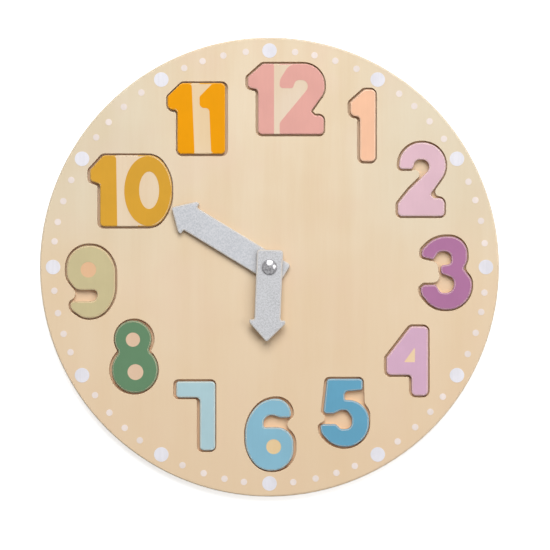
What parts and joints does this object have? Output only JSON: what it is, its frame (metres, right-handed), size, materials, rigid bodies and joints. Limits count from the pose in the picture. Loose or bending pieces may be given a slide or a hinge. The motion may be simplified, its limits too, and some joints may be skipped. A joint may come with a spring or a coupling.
{
  "type": "teaching clock",
  "caption": "Round wooden teaching clock: a plywood dial board with lift-out numerals in routed sockets and two arrow hands that turn by hand on one pivot.",
  "frame": {"origin": "middle of the flat back face, on the axis of the hands", "axes": "+Z out of the dial, +Y towards twelve o'clock, +X towards three o'clock"},
  "size_m": [0.29, 0.29, 0.0179],
  "materials": {
    "board_wood": "pale birch ply, sanded, thin matt varnish",
    "piece_wood": "bare pale ply, sanded soft edges",
    "paint_1": "flat printed colour, satin",
    "paint_2": "flat printed colour, satin",
    "paint_3": "flat printed colour, satin",
    "paint_4": "flat printed colour, satin",
    "paint_5": "flat printed colour, satin",
    "paint_6": "flat printed colour, satin",
    "paint_7": "flat printed colour, satin",
    "paint_8": "flat printed colour, satin",
    "paint_9": "flat printed colour, satin",
    "paint_10": "flat printed colour, satin",
    "paint_11": "flat printed colour, satin",
    "paint_12": "flat printed colour, satin",
    "hand_paint": "silver-grey print with a fine speckle",
    "hour_dot_paint": "flat printed pale blue-grey",
    "minute_dot_paint": "flat printed pale pink",
    "screw_nickel": "bright nickel plate",
    "barrel_steel": "plain zinc plate",
    "washer_plastic": "plain natural nylon"
  },
  "bodies": {
    "board": {"back_board": "board_wood", "face_board": "board_wood", "hour_dots": "hour_dot_paint", "minute_dots": "minute_dot_paint", "pivot_barrel": "barrel_steel", "pivot_screw": "screw_nickel", "board_washer": "washer_plastic", "hand_washer": "washer_plastic"},
    "minute_hand_body": {"minute_hand": "piece_wood", "minute_hand_paint": "hand_paint"},
    "hour_hand_body": {"hour_hand": "piece_wood", "hour_hand_paint": "hand_paint"},
    "piece_1": {"number_1": "piece_wood", "number_1_paint": "paint_1"},
    "piece_2": {"number_2": "piece_wood", "number_2_paint": "paint_2"},
    "piece_3": {"number_3": "piece_wood", "number_3_paint": "paint_3"},
    "piece_4": {"number_4": "piece_wood", "number_4_paint": "paint_4"},
    "piece_5": {"number_5": "piece_wood", "number_5_paint": "paint_5"},
    "piece_6": {"number_6": "piece_wood", "number_6_paint": "paint_6"},
    "piece_7": {"number_7": "piece_wood", "number_7_paint": "paint_7"},
    "piece_8": {"number_8": "piece_wood", "number_8_paint": "paint_8"},
    "piece_9": {"number_9": "piece_wood", "number_9_paint": "paint_9"},
    "piece_10": {"number_10": "piece_wood", "number_10_paint": "paint_10"},
    "piece_11": {"number_11": "piece_wood", "number_11_paint": "paint_11"},
    "piece_12": {"number_12": "piece_wood", "number_12_paint": "paint_12"}
  },
  "joints": [
    {"name": "minute_hand_turn", "type": "hinge", "parent": "board", "child": "minute_hand_body", "pos_m": [0, 0, 0.0101], "axis": [0, 0, 1], "continuous": true},
    {"name": "hour_hand_turn", "type": "hinge", "parent": "board", "child": "hour_hand_body", "pos_m": [0, 0, 0.0139], "axis": [0, 0, 1], "continuous": true},
    {"name": "lift_1", "type": "slide", "parent": "board", "child": "piece_1", "axis": [0, 0, 1], "range_m": [0, 0.03]},
    {"name": "lift_2", "type": "slide", "parent": "board", "child": "piece_2", "axis": [0, 0, 1], "range_m": [0, 0.03]},
    {"name": "lift_3", "type": "slide", "parent": "board", "child": "piece_3", "axis": [0, 0, 1], "range_m": [0, 0.03]},
    {"name": "lift_4", "type": "slide", "parent": "board", "child": "piece_4", "axis": [0, 0, 1], "range_m": [0, 0.03]},
    {"name": "lift_5", "type": "slide", "parent": "board", "child": "piece_5", "axis": [0, 0, 1], "range_m": [0, 0.03]},
    {"name": "lift_6", "type": "slide", "parent": "board", "child": "piece_6", "axis": [0, 0, 1], "range_m": [0, 0.03]},
    {"name": "lift_7", "type": "slide", "parent": "board", "child": "piece_7", "axis": [0, 0, 1], "range_m": [0, 0.03]},
    {"name": "lift_8", "type": "slide", "parent": "board", "child": "piece_8", "axis": [0, 0, 1], "range_m": [0, 0.03]},
    {"name": "lift_9", "type": "slide", "parent": "board", "child": "piece_9", "axis": [0, 0, 1], "range_m": [0, 0.03]},
    {"name": "lift_10", "type": "slide", "parent": "board", "child": "piece_10", "axis": [0, 0, 1], "range_m": [0, 0.03]},
    {"name": "lift_11", "type": "slide", "parent": "board", "child": "piece_11", "axis": [0, 0, 1], "range_m": [0, 0.03]},
    {"name": "lift_12", "type": "slide", "parent": "board", "child": "piece_12", "axis": [0, 0, 1], "range_m": [0, 0.03]}
  ]
}
